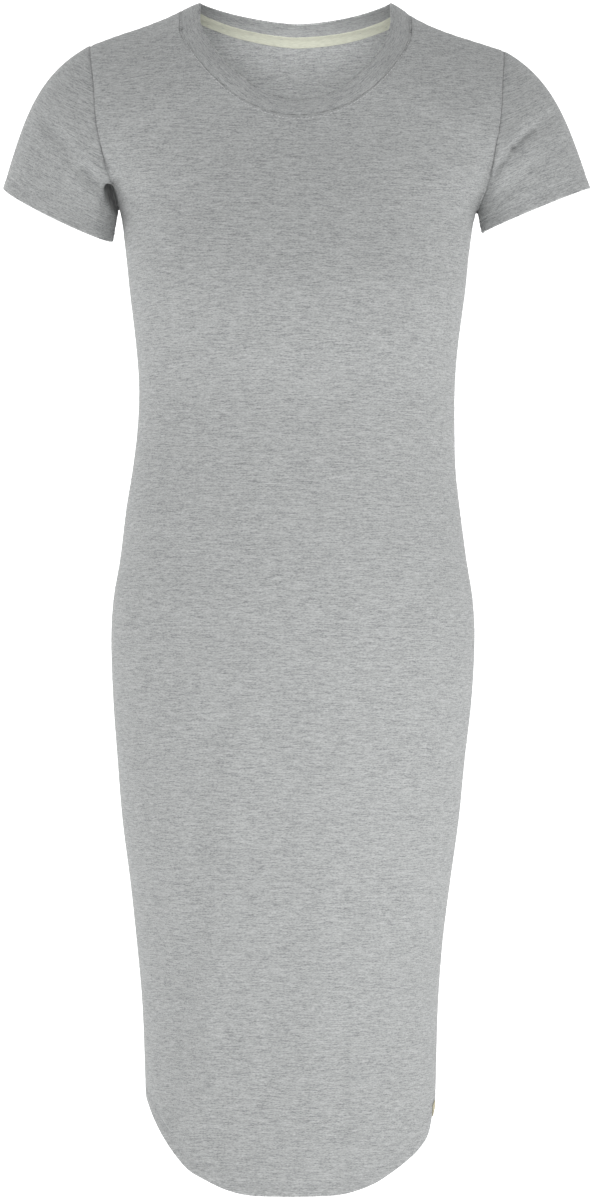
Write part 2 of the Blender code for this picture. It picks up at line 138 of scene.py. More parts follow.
# Sleeves: corners of the hem seen from the front, its half depth, how far its front dips and its
# back rises, and how the sleeve's top leaves the armhole and arrives at the hem
Sleeve = namedtuple(
    "Sleeve",
    "name side outer_out outer_drop inner_out inner_drop depth dip rise leave_top arrive_top fullness",
)
SLEEVES = (
    Sleeve(
        name="sleeve_left", side=-1, outer_out=263.3, outer_drop=167.4, inner_out=163.8, inner_drop=215.2,
        depth=45, dip=8, rise=8, leave_top=(0.89, 0, -0.46), arrive_top=(0.3, 0, -0.95), fullness=1.15,
    ),
    Sleeve(
        name="sleeve_right", side=1, outer_out=265.5, outer_drop=167.4, inner_out=167.2, inner_drop=207.8,
        depth=45, dip=1, rise=8, leave_top=(0.875, 0, -0.485), arrive_top=(0.34, 0, -0.94), fullness=1.14,
    ),
)
LEAVE_FRONT = (0.8, 0.1, -0.6)
LEAVE_BOTTOM = (0.12, 0, -1)
LEAVE_BACK = (0.8, -0.1, -0.6)
ARRIVE_BOTTOM = (0.15, 0, -0.99)
FACE_UNLIKE = 0.2
FACE_ALIKE = 0.8
SLEEVE_FOLD_FADE = 7
ARMHOLE_FADE = Sides(1.5, 5)
# Steps in from an armhole and up along it that give the body's slope there
ARMHOLE_STEP_IN = 0.03
ARMHOLE_STEP_UP = 0.01

# Neck tape, which lies over the seam and rises on to the band towards the shoulders
TAPE_WIDTH = 11.5
TAPE_THICKNESS = 0.7
TAPE_OVER_SEAM = 1
TAPE_RISE = 14
TAPE_RISE_POWER = 2.5
TAPE_MOST_RISE = 8
TAPE_ROWS = 14
TAPE_GROUND_ROWS = 40

# Hem tab, between two shares of the way to the right side seam. Its outer leaf stands off the cloth.
TAB_FROM = 0.85
TAB_TO = 0.895
TAB_FOOT = 0.8
TAB_HEIGHT = 6.5
TAB_LEAF = 0.4
TAB_FOLD = 0.45
TAB_MIDDLE_OUT = 1.25
TAB_TOP_OUT = 1.0
TAB_COLUMNS = 24
TAB_BEND_STEPS = 8

# Folds and creases: soft troughs between two places seen from the front, each given by its x and
# drop, then the trough's width and depth. A negative depth is a ridge.
FRONT_FOLDS = (
    (-75, 655, -107, 985, 12, 3.8),
    (-50, 655, -84, 985, 12, -2.4),
    (-98, 850, -107, 1000, 11, 3),
    (-76, 850, -86, 1000, 11, -2),
    (-14, 830, -24, 1035, 15, 1.8),
    (30, 700, 14, 1030, 30, -2.6),
    (28, 740, 14, 1010, 11, -1.5),
    (42, 850, 41, 1035, 4.5, 1.1),
    (45, 895, 44.6, 1035, 2.6, 0.8),
    (-88, 950, -88, 1035, 5, 1),
    (124, 790, 114, 1030, 7, 1.6),
    (56, 830, 56, 1010, 11, -1),
    (131, 740, 118.4, 890, 2.2, 1.2),
    (-120, 790, -118, 960, 8, 2),
    (92, 840, 90, 1000, 12, 1),
    (-136, 160, -128, 196, 13, -2.5),
    (150, 158, 146, 186, 11, -2.5),
    (-177, 128, -163, 168, 10, -4),
    (180, 128, 166, 168, 10, -4),
    (-163, 169, -157, 194, 5.5, 16),
    (-152, 196, -112, 236, 7, 0.7),
    (156, 200, 122, 246, 8, 0.8),
    (-138, 330, -70, 352, 9, 0.6),
    (136, 345, 74, 368, 10, 0.6),
    (-60, 366, 48, 372, 12, 0.4),
    (-150, 470, -60, 520, 12, 0.6),
    (150, 505, 70, 560, 13, 0.6),
)
BACK_FOLDS = (
    (62, 660, 92, 950, 13, 3.2),
    (38, 760, 60, 1010, 13, -2.4),
    (8, 840, 20, 1035, 15, 1.8),
    (-28, 730, -10, 990, 13, -2.8),
    (-52, 820, -54, 970, 6, 1.6),
    (-70, 800, -72, 1010, 12, -1.6),
    (114, 800, 112, 960, 8, 1.6),
    (-40, 372, 44, 392, 12, 2),
    (134, 162, 124, 200, 13, -2.2),
    (-138, 162, -128, 198, 12, -2.2),
    (-70, 404, 10, 412, 9, 0.8),
    (20, 356, 84, 350, 8, 0.6),
    (-148, 190, -104, 224, 8, 0.7),
    (148, 196, 108, 232, 8, 0.7),
)
SLEEVE_FRONT_FOLDS = (
    (-222, 112, -178, 166, 7, 2.5),
    (-192, 157, -176, 175, 4.5, 1.6),
    (228, 104, 186, 146, 7, 2.2),
    (214, 150, 184, 176, 7, 1.8),
    (-169.5, 167, -165, 174, 5, 2.2),
    (-165.5, 173, -163, 178, 4.2, 5),
    (-163, 177, -159.5, 184, 3.7, 44),
    (-188, 155, -174, 171, 2.2, 2.2),
    (-181, 150, -167, 164, 5, -1.4),
    (212, 117, 193, 136, 2.6, 3),
    (193, 136, 178, 157, 3.0, 2.4),
    (206, 106, 196, 128, 6, -0.8),
)
SLEEVE_BACK_FOLDS = (
    (-224, 100, -180, 150, 8, 2.6),
    (-214, 140, -178, 176, 7, 2),
    (226, 108, 184, 152, 8, 2.6),
    (216, 146, 182, 176, 7, 1.8),
    (-206, 122, -176, 158, 4, 1.6),
    (208, 126, 178, 160, 4, 1.6),
)

# Slow waves of the cloth: their lengths across and down, and their height
CLOTH_WAVES = ((83, 141, 0.22), (57, -96, 0.16), (-39, 173, 0.12), (118, 61, 0.14), (31, -47, 0.05))
CLOTH_WAVE_SHIFT = 1.7

# Thickness of the cloth
JERSEY = 1.0
HEM_JERSEY = 2.0
BAND_JERSEY = 2.0

# Neckband: its reach over the edge, its roundness, and how much finer its knit looks
BAND_OVER_EDGE = 0.2
BAND_ROUNDNESS = 0.6
BAND_FINENESS = (1.4, 1.4, 1)

# Where in the jersey's flecks each piece was cut
PANEL_CUT = 300.0
SLEEVE_CUT = 700.0
BAND_CUT = 1500.0

# Seams: how deep and wide their grooves are, and where they fade
SEAM_GAP = 0.3
SEAM_DIP = 0.9
SEAM_DIP_WIDTH = 1.5
ARMHOLE_DIP = 0.5
ARMPIT_DIP = 1.1
ARMPIT_DIP_RISE = 0.13
NECK_DIP = 0.45
NECK_DIP_FADE = Sides(0.95, 0.85)
NECK_DIP_FADE_WIDTH = 14

# Puckers beside the seams: height and width, and the lengths and shares of their two waves
PUCKER = 0.16
PUCKER_WIDTH = 6
PUCKER_WAVES = ((9.1, 1), (14.3, 0.7))

# Stitches: two lines above each hem and one beside the neck seam
STITCH_HEIGHTS = (8.2, 11)
STITCH_GROOVE = 0.45
STITCH_GROOVE_WIDTH = 0.9
NECK_STITCH_DISTANCE = 4
STITCH_LENGTH = 2.5
STITCH_STEP = 3.3
STITCH_RADIUS = 0.3
STITCH_SIDES = 6
# Shares of a stitch's length and radius, and its height over the cloth
STITCH_STATIONS = (
    (-0.5, 0.35, -0.2),
    (-0.32, 0.85, 0.08),
    (0, 1, 0.16),
    (0.32, 0.85, 0.08),
    (0.5, 0.35, -0.2),
)

# Seam allowances: their rows' distances from the seam, and their grip on the other piece
ALLOWANCE_LEVELS = (7, 4.55, 2.1, 0.6)
ALLOWANCE_JERSEY = 0.9
TRIM_GAP = 0.15
SEAM_GRIP = 1.3

# Overlock: a thread that swings between two rows of an allowance
THREAD = 0.22
OVERLOCK_STEP = 2.6
OVERLOCK_SIDES = 5
OVERLOCK_ROWS = (0, 2)
OVERLOCK_SHIFTS = (0.25, 0.75)
NO_THREADS_WAY = (0.31, 0.22, 0.93)

# How finely the cloth is made
HEM_LEVELS = (0.9, 1.6, 2.6, 4, 5.6, 7, 7.7, 8.2, 8.7, 9.6, 10.4, 11, 11.6, 12.4, 13.6)
DOUBLED_LEVELS = 13
SKIRT_ROWS = 215
SKIRT_CROWDING = 1.25
CHEST_ROWS = 72
CHEST_EVENNESS = 0.35
COLUMN_EDGES = (0.004, 0.009)
COLUMNS = 128
SLEEVE_COLUMNS = 240
SLEEVE_ROWS = 66
BAND_COLUMNS = 128
BAND_ROWS = 9
RIM_STEPS = 3

# Melange: its flecks' length and height, fineness and share. The first also roughen the surface.
Flecks = namedtuple("Flecks", "long tall detail share")
MELANGE = (
    Flecks(2.1, 0.62, 3, 0.52),
    Flecks(10, 0.8, 3, 0.44),
    Flecks(1.2, 0.35, 1, 0.16),
    Flecks(60, 34, 2, 0.02),
)
FLECK_ROUGHNESS = 0.6
MELANGE_GREYS = (
    (0.415, (0.204, 0.211, 0.214)),
    (0.514, (0.324, 0.332, 0.334)),
    (0.578, (0.403, 0.412, 0.41)),
    (0.69, (0.523, 0.533, 0.532)),
)

# Knit: its wales and courses, and how much each of its parts stands up
WALE = 0.8
COURSE = 0.62
WALE_RELIEF = 1.2
LOOP_RELIEF = 0.35
FLECK_RELIEF = 0.6

# Woven cloth: its second rib against the first, the ribs' share in the colour, and the slubs' size
WOVEN_RIB_SHARE = 0.8
WOVEN_RIB_COLOUR = 0.12
WOVEN_SLUB = (5, 0.8)

# Thread: its dark and light shades, and how fine its twist is
THREAD_SHADES = (0.8, 1.15)
THREAD_TWIST = 900

# Camera, in metres, and how tall its picture is at the dress
CAMERA_PLACE = (0.0009, -4.0, -0.5377)
PICTURE_HEIGHT = 1.08
SENSOR = 36

# Light from all round: its strength in front and behind, its loss above and gain to the left, and
# the directions where it begins to rise and has lost the most
SKY_FRONT = 0.925
SKY_BEHIND = 1.62
SKY_FRONT_END = -0.75
SKY_LOSS_ABOVE = 0.62
SKY_LOSS_END = 0.45
SKY_GAIN_LEFT = 0.12

# Soft boxes, in metres, watts and degrees
Box = namedtuple("Box", "name place towards size watts spread")
SOFT_BOXES = (
    Box("key", (0.34, -0.78, -0.72), (0, 0, -0.74), (0.5, 0.5), 2.2, 180),
    Box("inside", (0, -0.05, -0.048), (0.01, 0.1, -0.044), (0.15, 0.03), 0.052, 90),
)

# Floor, in metres
FLOOR_DROP = 1.4
FLOOR_RADIUS = 2.2
FLOOR_CORNERS = 64
FLOOR_GLOW = 0.45
FLOOR_GREYS = ((0, (0.84, 0.84, 0.84)), (1, (0.88, 0.88, 0.88)))


def blend(low, high, share):
    return low + (high - low) * share


def between_sides(sides, across):
    """A size that differs left and right, at places from -1 at the left to 1 at the right."""
    return blend(sides.left, sides.right, (across + 1) / 2)


def smooth(table, column, at):
    """A column's values on a smooth curve through the rows, which go by their first column."""
    rows = np.array(table, float)
    places, values = rows[:, 0], rows[:, column]
    last = len(places) - 1
    before, after = np.maximum(np.arange(last + 1) - 1, 0), np.minimum(np.arange(last + 1) + 1, last)
    slope = (values[after] - values[before]) / (places[after] - places[before])
    at = np.clip(at, places[0], places[last])
    low = np.minimum(np.searchsorted(places, at, "right"), last) - 1
    step = places[low + 1] - places[low]
    share = (at - places[low]) / step
    ease = share * share * (3 - 2 * share)
    start = share * (1 - share) ** 2 * step * slope[low]
    end = share * share * (1 - share) * step * slope[low + 1]
    return blend(values[low], values[low + 1], ease) + start - end


def quarter(share, squareness):
    """Height of a rounded quarter, 1 where share is 0 and 0 where share is 1."""
    return np.maximum(1 - np.clip(share, 0, 1) ** squareness, 0) ** (1 / squareness)


def section(drop):
    return Section(drop, *(smooth(SECTIONS, column, drop) for column in range(1, 6)))


def by_side(table, at):
    """A table's value at a place, from its left or its right column."""
    left, right = (smooth(table, column, np.abs(at)) for column in (LEFT_COLUMN, RIGHT_COLUMN))
    return np.where(at < 0, left, right)


def shoulder_drop(x):
    return by_side(SHOULDERS, x)


def fold_depth(folds, x, z):
    """How deep the folds are at places seen from the front."""
    deep = np.zeros(np.broadcast(x, z).shape)
    for x0, drop0, x1, drop1, width, depth in folds:
        along = np.array((x1 - x0, drop0 - drop1), float)
        away_x, away_z = x - x0, z + drop0
        share = np.clip((away_x * along[0] + away_z * along[1]) / (along @ along), 0, 1)
        distance = np.hypot(away_x - along[0] * share, away_z - along[1] * share)
        deep += depth * np.exp(-((distance / width) ** 2))
    return deep


def unevenness(u, v, seed):
    """Slow small waves that cloth never lacks."""
    return sum(
        height * np.sin(2 * math.pi * (u / across + v / down) + seed * (number + CLOTH_WAVE_SHIFT))
        for number, (across, down, height) in enumerate(CLOTH_WAVES)
    )


def on_body(face, x, z):
    """Points of the front's or the back's outer side, at places seen from the front."""
    oval = section(-z)
    deep = oval.front if face == FRONT else oval.back
    deep = deep * quarter(np.abs(x - oval.centre) / oval.half, oval.squareness)
    below_shoulder = np.maximum(-shoulder_drop(x) - z, 0) / SHOULDER_ROLL
    deep = deep * quarter(1 - below_shoulder, SHOULDER_ROUNDNESS)
    side_share = np.minimum(deep / ARMHOLE_DEPTH, 1)
    deep = deep - side_share * fold_depth(FRONT_FOLDS if face == FRONT else BACK_FOLDS, x, z)
    deep = deep + side_share * unevenness(x, z, 2.0 + face)
    x, z, deep = np.broadcast_arrays(x, z, deep)
    return np.stack((x, face * (SEAM_GAP / 2 + deep), z), axis=-1)


def neck_place(face, neck, turn):
    """Places on a neck line seen from the front, turn going from -1 at the left to 1."""
    corner = np.copysign(neck.half, turn)
    rise = shoulder_drop(corner)
    if face == BACK:
        along = np.sin(turn * math.pi / 2)
        power = np.where(turn < 0, BACK_NECK_POWER.left, BACK_NECK_POWER.right)
        return neck.half * along, -rise - (neck.back - rise) * (1 - np.abs(along) ** power)
    upright = (np.abs(turn) - 1) / NECK_UPRIGHT_SHARE + 1
    roundness = np.where(turn < 0, NECK_ROUNDNESS.left, NECK_ROUNDNESS.right)
    angle = np.minimum(np.abs(turn) / (1 - NECK_UPRIGHT_SHARE), 1) * math.pi / 2
    down = np.maximum(np.cos(angle), 0) ** (2 / roundness)
    x = corner * np.sin(angle) + NECK_LEAN * down
    z = -blend(rise + NECK_UPRIGHT, neck.front, down)
    return np.where(upright > 0, corner, x), np.where(upright > 0, -rise - NECK_UPRIGHT * (1 - upright), z)


def top_place(face, across):
    """Where a column of a panel ends: on the neck line, or on the shoulder seam beside it."""
    neck_x, neck_z = neck_place(face, NECK_SEAM, np.clip(across / NECK_SHARE, -1, 1))
    tip = np.where(across < 0, TIP_OUT.left, TIP_OUT.right)
    out = blend(NECK_SEAM.half, tip, (np.abs(across) - NECK_SHARE) / (1 - NECK_SHARE))
    x = np.copysign(out, across)
    on_neck = np.abs(across) <= NECK_SHARE
    return np.where(on_neck, neck_x, x), np.where(on_neck, neck_z, -shoulder_drop(x))


def armhole_angle(rise):
    """Angle round the oval at which the armhole cuts it, rise going from 0 at the armpit to 1."""
    armpit = between_sides(ARMPIT_DROP, 0)
    tip = (shoulder_drop(-TIP_OUT.left) + shoulder_drop(TIP_OUT.right)) / 2
    climb = rise * (armpit - tip) / UNDERARM_ROLL
    deep = ARMHOLE_DEPTH * quarter(1 - climb, 2)
    oval = section(blend(armpit, tip, rise))
    return np.arcsin(quarter(deep / oval.front, oval.squareness))


def armhole_bulge(across, rise):
    """How far places of the chest are moved outwards, so that the armhole bulges as it should."""
    moved = 0
    for side, bulge in zip((-1, 1), ARMHOLE_BULGE):
        most = bulge.climb / (bulge.climb + bulge.fall)
        share = (rise / most) ** bulge.climb * ((1 - rise) / (1 - most)) ** bulge.fall
        moved = moved + side * bulge.size * share * np.maximum(side * across, 0) ** BULGE_SPREAD
    return moved


def on_chest(face, across, rise):
    """Points of a panel between the armpits, where rise is 0, and its top, where it is 1."""
    top_x, top_z = top_place(face, across)
    top_oval = section(-top_z)
    miss = top_x - top_oval.centre - top_oval.half * np.sin(across * armhole_angle(1.0))
    z = blend(-between_sides(ARMPIT_DROP, across), top_z, rise)
    oval = section(-z)
    x = oval.centre + oval.half * np.sin(across * armhole_angle(rise)) + miss * rise**CHEST_LATENESS
    return on_body(face, x + armhole_bulge(across, rise), z)


def on_skirt(face, across, above_hem, share):
    """Points of a panel between its hem, where share is 0, and the armpits, where it is 1.

    above_hem is measured square to the hem's curve."""
    turn = across * math.pi / 2
    hem = -by_side(HEM, across)
    oval = section(-hem)
    around = oval.centre + oval.half * np.sin(turn)
    deep = oval.front * np.cos(turn)
    slope = np.gradient(hem) / np.hypot(np.gradient(around), np.gradient(deep))
    z = hem + above_hem * np.hypot(1, slope)
    z = blend(z, -between_sides(ARMPIT_DROP, across), share)
    oval = section(-z)
    return on_body(face, oval.centre + oval.half * np.sin(turn), z)


def unit(vectors):
    return vectors / np.maximum(np.linalg.norm(vectors, axis=-1, keepdims=True), 1e-9)


def normals_of(points, inside):
    """Outward normals of a grid of points, given a point inside it for each row."""
    normals = unit(np.cross(np.gradient(points, axis=1), np.gradient(points, axis=0)))
    outward = np.sum(normals * (points - inside[:, None, :]), axis=-1, keepdims=True)
    return np.where(outward > 0, normals, -normals)


def across_seam(line, away):
    """Directions square to a seam in its own upright plane, on the side that away points to."""
    along = np.gradient(line, axis=0)
    normals = unit(np.stack((-along[:, 2], np.zeros(len(line)), along[:, 0]), axis=-1))
    return np.where(np.sum(normals * away, axis=-1, keepdims=True) > 0, normals, -normals)


def lengths_along(points, axis):
    """Distance along each line of a grid from its first point."""
    steps = np.linalg.norm(np.diff(points, axis=axis), axis=-1)
    start = np.zeros_like(np.take(steps, [0], axis=axis))
    return np.cumsum(np.concatenate((start, steps), axis=axis), axis=axis)


def interpolate(at, along, values):
    """Points or directions at places along a line, from those at its own places."""
    return np.stack([np.interp(at, along, values[:, part]) for part in range(3)], axis=-1)


def at_levels(levels, along, values):
    """Rows of points or directions at each column's own levels along a grid."""
    columns = zip(levels.T, along.T, np.swapaxes(values, 0, 1))
    return np.stack([interpolate(*column) for column in columns], axis=1)


def on_axis(heights):
    """Points at the given heights on the upright line through the middle of the dress."""
    return np.stack((np.zeros(len(heights)), np.zeros(len(heights)), heights), axis=-1)


def seam_relief(distance, along, seed, depth):
    """How far cloth goes in towards a seam, with the small puckers that sewing leaves."""
    dip = depth * np.exp(-((distance / SEAM_DIP_WIDTH) ** 2))
    wave = sum(
        share * np.sin(2 * math.pi * along / length + number * seed)
        for number, (length, share) in enumerate(PUCKER_WAVES, 1)
    )
    return dip + PUCKER * wave * np.exp(-((distance / PUCKER_WIDTH) ** 2))


def armhole_dip(rise):
    """Depth of the groove at an armhole's seam, which is deepest in the armpit."""
    return ARMHOLE_DIP + ARMPIT_DIP * np.exp(-((rise / ARMPIT_DIP_RISE) ** 2))


def neck_dip(x):
    """Depth of the groove at the neck and shoulder seams, which fades at the corners of the neck."""
    fade = sum(
        most * np.exp(-(((x - side * NECK_SEAM.half) / NECK_DIP_FADE_WIDTH) ** 2))
        for side, most in zip((-1, 1), NECK_DIP_FADE)
    )
    return NECK_DIP * (1 - fade)


def stitch_relief(rows):
    """How far the stitch lines above the hem pull each row in."""
    heights = np.array(HEM_LEVELS)
    grooves = sum(np.exp(-(((heights - at) / STITCH_GROOVE_WIDTH) ** 2)) for at in STITCH_HEIGHTS)
    return np.concatenate((STITCH_GROOVE * grooves, np.zeros(rows - len(heights))))[:, None]


def sewn_relief(points, seeds, side_dip, top_dip):
    """How far a hemmed piece goes in along its seams and stitch lines."""
    from_left, from_hem = lengths_along(points, 1), lengths_along(points, 0)
    to_side = np.minimum(from_left, from_left[:, -1:] - from_left)
    relief = seam_relief(to_side, from_hem, seeds[0], side_dip)
    relief += seam_relief(from_hem[-1:] - from_hem, from_left, seeds[1], top_dip)
    return relief + stitch_relief(len(points))


Grid = namedtuple("Grid", "points normals cloth thickness")


def hemmed(rows):
    """Thickness of each row: double in the first rows, where the hem is turned up."""
    return np.where(np.arange(rows) < DOUBLED_LEVELS, HEM_JERSEY, JERSEY)


def panel_places():
    """The panels' columns, from -1 at the left side seam to 1 at the right, closer at both seams."""
    edges = np.array(COLUMN_EDGES)
    return np.sort(np.concatenate((np.linspace(-1, 1, COLUMNS + 1), edges - 1, 1 - edges)))


def panel(face):
    """The front's or the back's cloth, row by row from the hem to the shoulders."""
    across = panel_places()
    rows = [on_skirt(face, across, height, 0) for height in HEM_LEVELS]
    for k in range(1, SKIRT_ROWS + 1):
        rows.append(on_skirt(face, across, HEM_LEVELS[-1], 1 - (1 - k / SKIRT_ROWS) ** SKIRT_CROWDING))
    armpit = len(rows)
    shares = np.arange(1, CHEST_ROWS + 1) / CHEST_ROWS
    rises = blend((1 - np.cos(math.pi * shares)) / 2, shares, CHEST_EVENNESS)
    rows += [on_chest(face, across, rise) for rise in rises]
    points = np.array(rows)
    normals = normals_of(points, on_axis(points[:, :, 2].min(axis=1)))
    for column, side in ((0, -1), (-1, 1)):
        normals[:armpit, column] = across_seam(points[:armpit, column], (side, 0, 0))
    for beside in (across <= -NECK_SHARE, across >= NECK_SHARE):
        normals[-1, beside] = across_seam(points[-1, beside], (0, 0, 1))
    outwards = normals.copy()
    neck = np.abs(across) < NECK_SHARE
    normals[-1, neck] = across_seam(points[-1, neck], NECK_CENTRE - points[-1, neck])

    side_dip = np.concatenate((np.full(armpit, SEAM_DIP), armhole_dip(rises)))[:, None]
    relief = sewn_relief(points, (1 + face, 2 + face), side_dip, neck_dip(points[-1, :, 0]))
    around = lengths_along(points, 1)
    around = around - around[:, len(across) // 2][:, None]
    cloth = np.stack((around, points[:, :, 2], np.full(around.shape, PANEL_CUT * face)), axis=-1)
    return Grid(points - outwards * relief[:, :, None], normals, cloth, hemmed(len(rows)))


def aim(sleeve, direction):
    out, forward, up = direction
    return unit(np.array((sleeve.side * out, -forward, up), float))


def rise_at(turn):
    """How far up an armhole a turn round it lies, 0 being the armpit and 1 the shoulder tip."""
    return (1 - np.cos(math.pi - np.abs(turn))) / 2


def armhole_line(sleeve, turn):
    """Points round an armhole and the body's normals there.

    turn goes from the underarm over the back to the top, and down the front to the underarm."""
    rise = rise_at(turn)
    side = np.full(len(turn), float(sleeve.side))
    above, below = np.minimum(rise + ARMHOLE_STEP_UP, 1), np.maximum(rise - ARMHOLE_STEP_UP, 0)
    points, normals = [], []
    for face in (BACK, FRONT):
        here = on_chest(face, side, rise)
        sideways = here - on_chest(face, side * (1 - ARMHOLE_STEP_IN), rise)
        upwards = on_chest(face, side, above) - on_chest(face, side, below)
        normal = unit(np.cross(sideways, upwards))
        outward = np.sum(normal * (here * (1, 1, 0)), axis=-1, keepdims=True)
        points.append(here)
        normals.append(np.where(outward > 0, normal, -normal))
    front = (turn > 0)[:, None]
    line = np.where(front, points[1], points[0])
    line[np.isclose(np.sin(turn), 0), 1] = 0
    return line, np.where(front, normals[1], normals[0])


def sleeve_curves(sleeve, turn, seam, body_normals):
    """Rows of a sleeve's points from its hem to the armhole's seam, and their heights above the hem."""
    cosine, sine = np.cos(turn)[:, None], np.sin(turn)[:, None]
    outer = np.array((sleeve.side * sleeve.outer_out, 0, -sleeve.outer_drop))
    inner = np.array((sleeve.side * sleeve.inner_out, 0, -sleeve.inner_drop))
    deep = np.where(sine > 0, (0, -sleeve.depth, -sleeve.dip), (0, -sleeve.depth, -sleeve.rise))
    end = (outer + inner) / 2 + (outer - inner) / 2 * cosine + deep * sine
    shares = (np.maximum(share, 0) ** 2 for share in (cosine, sine, -cosine, -sine))
    ways = (sleeve.leave_top, LEAVE_FRONT, LEAVE_BOTTOM, LEAVE_BACK)
    leave = unit(sum(aim(sleeve, way) * share for way, share in zip(ways, shares)))
    arrive = unit(blend(aim(sleeve, ARRIVE_BOTTOM), aim(sleeve, sleeve.arrive_top), (1 + cosine) / 2))
    begin = seam + unit(blend(leave, body_normals, np.maximum(-cosine, 0))) * SEAM_GAP
    length = np.linalg.norm(end - begin, axis=-1, keepdims=True)
    pull = sleeve.fullness * length
    rows, heights = [], []
    for k in range(len(HEM_LEVELS) + SLEEVE_ROWS):
        share = 1 - HEM_LEVELS[min(k, len(HEM_LEVELS) - 1)] / length
        share = share * (1 - max(k - len(HEM_LEVELS) + 1, 0) / SLEEVE_ROWS)
        curve = blend(begin, end, share * share * (3 - 2 * share))
        curve = curve + leave * pull * share * (1 - share) ** 2 - arrive * pull * share * share * (1 - share)
        rows.append(curve)
        heights.append((1 - share[:, 0]) * length[:, 0])
    return np.array(rows), np.array(heights)


def sleeve_grid(sleeve):
    """A sleeve's cloth, row by row from its hem to the armhole, with its own seam underneath."""
    turn = np.linspace(-math.pi, math.pi, SLEEVE_COLUMNS + 1)
    seam, body_normals = armhole_line(sleeve, turn)
    points, heights = sleeve_curves(sleeve, turn, seam, body_normals)
    inside = points.mean(axis=1)
    x, y, z = np.moveaxis(points, -1, 0)
    deep = np.where(y < 0, fold_depth(SLEEVE_FRONT_FOLDS, x, z), fold_depth(SLEEVE_BACK_FOLDS, x, z))
    deep = deep * np.minimum(np.abs(y) / SLEEVE_FOLD_FADE, 1)
    from_hem = lengths_along(points, 0)
    fade = between_sides(ARMHOLE_FADE, sleeve.side)
    deep = deep * np.minimum((from_hem[-1:] - from_hem) / fade, 1)
    points = points + unit(inside[:, None, :] - points) * deep[:, :, None]
    normals = normals_of(points, inside)
    likeness = (np.sum(normals[-1] * body_normals, axis=-1) - FACE_UNLIKE) / (FACE_ALIKE - FACE_UNLIKE)
    normals[-1] = unit(blend(normals[-1], body_normals, np.clip(likeness, 0, 1)[:, None]))

    relief = sewn_relief(points, (0.4, 1.3), SEAM_DIP, armhole_dip(rise_at(turn)))
    girth = lengths_along(points, 1)[:, -1].mean()
    around = np.broadcast_to(turn / (2 * math.pi) * girth, heights.shape)
    cloth = np.stack((around, heights, np.full(heights.shape, SLEEVE_CUT * sleeve.side)), axis=-1)
    return Grid(points - normals * relief[:, :, None], normals, cloth, hemmed(len(points)))


def band_grid():
    """The neckband's cloth from its seam to the open edge, joined above the left shoulder."""
    turn = np.linspace(-1, 1, BAND_COLUMNS + 1)
    halves = []
    for face, along in ((FRONT, turn), (BACK, turn[::-1])):
        seam = on_body(face, *neck_place(face, NECK_SEAM, along))
        edge = on_body(face, *neck_place(face, NECK_EDGE, along))
        seam_normals = across_seam(seam, NECK_CENTRE - seam)
        seam[[0, -1], 1] = 0
        edge[[0, -1], 1] = 0
        halves.append((seam + unit(edge - seam) * SEAM_GAP, edge, seam_normals))
    seam, edge, seam_normals = (np.concatenate((front[:-1], back)) for front, back in zip(*halves))
    width = np.linalg.norm(edge - seam, axis=-1, keepdims=True)
    edge = edge - unit(edge - seam) * (BAND_JERSEY / 2 - BAND_OVER_EDGE)
    shares = np.linspace(0, 1, BAND_ROWS + 1)
    points = np.array([blend(seam, edge, share) for share in shares])
    outwards = normals_of(points, on_axis(points[:, 0, 2] - BAND_CENTRE_DROP))
    normals = outwards.copy()
    normals[0] = seam_normals
    swell = BAND_CROWN * np.sin(math.pi * shares) ** BAND_ROUNDNESS
    along = lengths_along(points, 1)
    relief = seam_relief(lengths_along(points, 0), along, 0.9, neck_dip(points[0, :, 0])) - swell[:, None]
    cloth = np.stack((along, shares[:, None] * width.T, np.full(along.shape, BAND_CUT)), axis=-1)
    thickness = np.full(len(points), BAND_JERSEY)
    return Grid(points - outwards * relief[:, :, None], normals, cloth * BAND_FINENESS, thickness)


def ribbon_places(points):
    """Places on a ribbon's own cloth, along it and across it."""
    return np.stack((lengths_along(points, 1), lengths_along(points, 0), np.zeros(points.shape[:2])), axis=-1)


def tape_grid(back, band, columns):
    """The tape on the inner side of the back's neck seam, its ends rising on to the band."""
    rows = slice(-TAPE_GROUND_ROWS, -1)
    band_columns = np.arange(2 * BAND_COLUMNS, BAND_COLUMNS - 1, -2)
    low, high = back.normals[rows, columns], band.normals[1:, band_columns]
    ground = np.concatenate((
        back.points[rows, columns] - low * (JERSEY + TRIM_GAP),
        band.points[1:, band_columns] - high * (BAND_JERSEY + TRIM_GAP),
    ))
    along = lengths_along(ground, 0)
    turn = np.linspace(-1, 1, len(columns))
    rise = np.minimum(TAPE_OVER_SEAM + TAPE_RISE * np.abs(turn) ** TAPE_RISE_POWER, TAPE_MOST_RISE)
    top = (along[len(low) - 1] + along[len(low)]) / 2 + rise
    levels = top + np.linspace(-TAPE_WIDTH, 0, TAPE_ROWS)[:, None]
    points = at_levels(levels, along, ground)
    normals = unit(at_levels(levels, along, np.concatenate((low, high))))
    return Grid(points, normals, ribbon_places(points), np.full(TAPE_ROWS, TAPE_THICKNESS))


